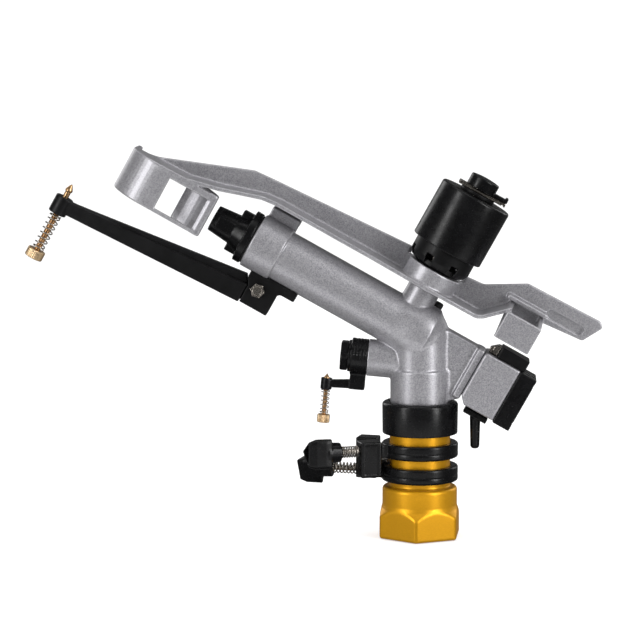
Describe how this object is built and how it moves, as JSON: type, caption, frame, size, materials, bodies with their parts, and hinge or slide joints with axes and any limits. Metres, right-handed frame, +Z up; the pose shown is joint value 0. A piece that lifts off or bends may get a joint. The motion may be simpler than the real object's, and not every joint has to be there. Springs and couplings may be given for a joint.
{
  "type": "impact sprinkler",
  "caption": "Large impact sprinkler with threaded base, tilted barrel and nozzle, spring-returned swing arm with deflector spoon, jet breaker arm and adjustable part-circle stops.",
  "frame": {"origin": "centre of the threaded base's lower face, on the swivel axis", "axes": "+Z up along the swivel axis; the jet leaves towards -X, rising; +Y is the far side of the barrel from the spoon"},
  "size_m": [0.4511, 0.0737, 0.3036],
  "materials": {
    "gold": "satin",
    "silver": "satin",
    "black": "satin",
    "black_gloss": "satin",
    "steel": "satin",
    "brass": "satin",
    "brass_knob": "satin",
    "bronze": "satin",
    "rubber": "matte",
    "nylon": "satin"
  },
  "bodies": {
    "base": {"inlet_base": "gold", "bearing_sleeve": "nylon"},
    "head": {"head_casting": "silver", "swivel_tube": "brass", "swivel_lock_nut": "brass", "swivel_seal": "rubber", "thrust_washer": "steel", "brake_spring": "steel", "dust_cover": "black_gloss", "main_nozzle": "black_gloss", "nozzle_seal": "rubber", "flow_straightener": "nylon", "side_nozzle_collar": "black_gloss", "side_nozzle": "black_gloss", "breaker_bracket": "black", "breaker_bolt": "steel", "breaker_nut": "steel", "pivot_shaft": "steel", "reverser_housing": "silver", "reverser_cover": "black_gloss", "cover_screw_1": "steel", "cover_screw_2": "steel", "cover_screw_3": "steel", "cover_screw_4": "steel", "trip_shaft": "steel", "toggle_spring": "steel", "arm_pad": "rubber"},
    "arm": {"swing_arm": "silver", "hub_bushing": "bronze", "spring_bush": "black", "torsion_spring": "steel"},
    "cup": {"spring_cup": "black_gloss", "cup_collar": "black", "locking_clip": "steel", "cup_cap": "black_gloss"},
    "breaker": {"breaker_arm": "black"},
    "breaker_slide": {"breaker_spring": "steel"},
    "breaker_screw": {"breaker_needle": "bronze", "breaker_knob": "brass_knob"},
    "side_slide": {"side_spring": "steel"},
    "side_screw": {"side_needle": "bronze", "side_knob": "brass_knob"},
    "upper_stop": {"upper_ring": "black_gloss", "upper_ring_nut": "steel"},
    "upper_slide": {"upper_ring_spring": "steel"},
    "upper_screw": {"upper_ring_screw": "steel", "upper_ring_knob": "black_gloss"},
    "lower_stop": {"lower_ring": "black_gloss", "lower_ring_nut": "steel"},
    "lower_slide": {"lower_ring_spring": "steel"},
    "lower_screw": {"lower_ring_screw": "steel", "lower_ring_knob": "black_gloss"},
    "trip": {"trip_lever": "black"},
    "striker": {"striker_block": "black", "striker_wedge": "steel"}
  },
  "joints": [
    {"name": "swivel", "type": "hinge", "parent": "base", "child": "head", "pos_m": [0, 0, 0.0965], "axis": [0, 0, 1], "range_deg": [-140, 148]},
    {"name": "arm_swing", "type": "hinge", "parent": "head", "child": "arm", "pos_m": [-0.01268, 0, 0.16673], "axis": [0.4848, 0, 0.8746], "range_deg": [0, 90], "stiffness_Nm_per_rad": 0.2, "springref_deg": -42.97},
    {"name": "cup_turn", "type": "hinge", "parent": "head", "child": "cup", "pos_m": [-0.01268, 0, 0.16673], "axis": [0.4848, 0, 0.8746], "range_deg": [-60, 60]},
    {"name": "breaker_tilt", "type": "hinge", "parent": "head", "child": "breaker", "pos_m": [-0.12619, 0, 0.19318], "axis": [0, 1, 0], "range_deg": [0, 7]},
    {"name": "trip_turn", "type": "hinge", "parent": "head", "child": "trip", "pos_m": [0.05123, 0, 0.11186], "axis": [-0.8746, 0, 0.4848], "range_deg": [0, 25]},
    {"name": "striker_lift", "type": "slide", "parent": "head", "child": "striker", "axis": [0.4848, 0, 0.8746], "range_m": [0, 0.007]},
    {"name": "upper_stop_turn", "type": "hinge", "parent": "base", "child": "upper_stop", "pos_m": [0, 0, 0.069], "axis": [0, 0, 1], "range_deg": [0, 100]},
    {"name": "lower_stop_turn", "type": "hinge", "parent": "base", "child": "lower_stop", "pos_m": [0, 0, 0.0506], "axis": [0, 0, 1], "range_deg": [-100, 0]},
    {"name": "breaker_screw_travel", "type": "slide", "parent": "breaker", "child": "breaker_slide", "axis": [0.4848, 0, 0.8746], "range_m": [0, 0.012], "deforming": ["breaker_spring"]},
    {"name": "breaker_screw_turn", "type": "hinge", "parent": "breaker_slide", "child": "breaker_screw", "pos_m": [-0.28562, 0, 0.24942], "axis": [0.4848, 0, 0.8746], "range_deg": [0, 2880]},
    {"name": "side_screw_travel", "type": "slide", "parent": "head", "child": "side_slide", "axis": [0.0837, 0, 0.9965], "range_m": [0, 0.008], "deforming": ["side_spring"]},
    {"name": "side_screw_turn", "type": "hinge", "parent": "side_slide", "child": "side_screw", "pos_m": [-0.07386, 0, 0.1132], "axis": [0.0837, 0, 0.9965], "range_deg": [0, 2880]},
    {"name": "upper_screw_travel", "type": "slide", "parent": "upper_stop", "child": "upper_slide", "axis": [-0.9397, -0.342, 0], "range_m": [-0.0035, 0], "deforming": ["upper_ring_spring"]},
    {"name": "upper_screw_turn", "type": "hinge", "parent": "upper_slide", "child": "upper_screw", "pos_m": [-0.05638, -0.02052, 0.069], "axis": [-0.9397, -0.342, 0], "range_deg": [-1008, 0]},
    {"name": "lower_screw_travel", "type": "slide", "parent": "lower_stop", "child": "lower_slide", "axis": [-0.9781, 0.2079, 0], "range_m": [-0.0035, 0], "deforming": ["lower_ring_spring"]},
    {"name": "lower_screw_turn", "type": "hinge", "parent": "lower_slide", "child": "lower_screw", "pos_m": [-0.05869, 0.01247, 0.0506], "axis": [-0.9781, 0.2079, 0], "range_deg": [-1008, 0]}
  ],
  "couplings": [
    {"joint": "trip_turn", "follows": "striker_lift", "rad_per_m": 62.333},
    {"joint": "breaker_screw_turn", "follows": "breaker_screw_travel", "rad_per_m": 4188.8},
    {"joint": "side_screw_turn", "follows": "side_screw_travel", "rad_per_m": 6283.2},
    {"joint": "upper_screw_turn", "follows": "upper_screw_travel", "rad_per_m": 5026.5},
    {"joint": "lower_screw_turn", "follows": "lower_screw_travel", "rad_per_m": 5026.5}
  ]
}
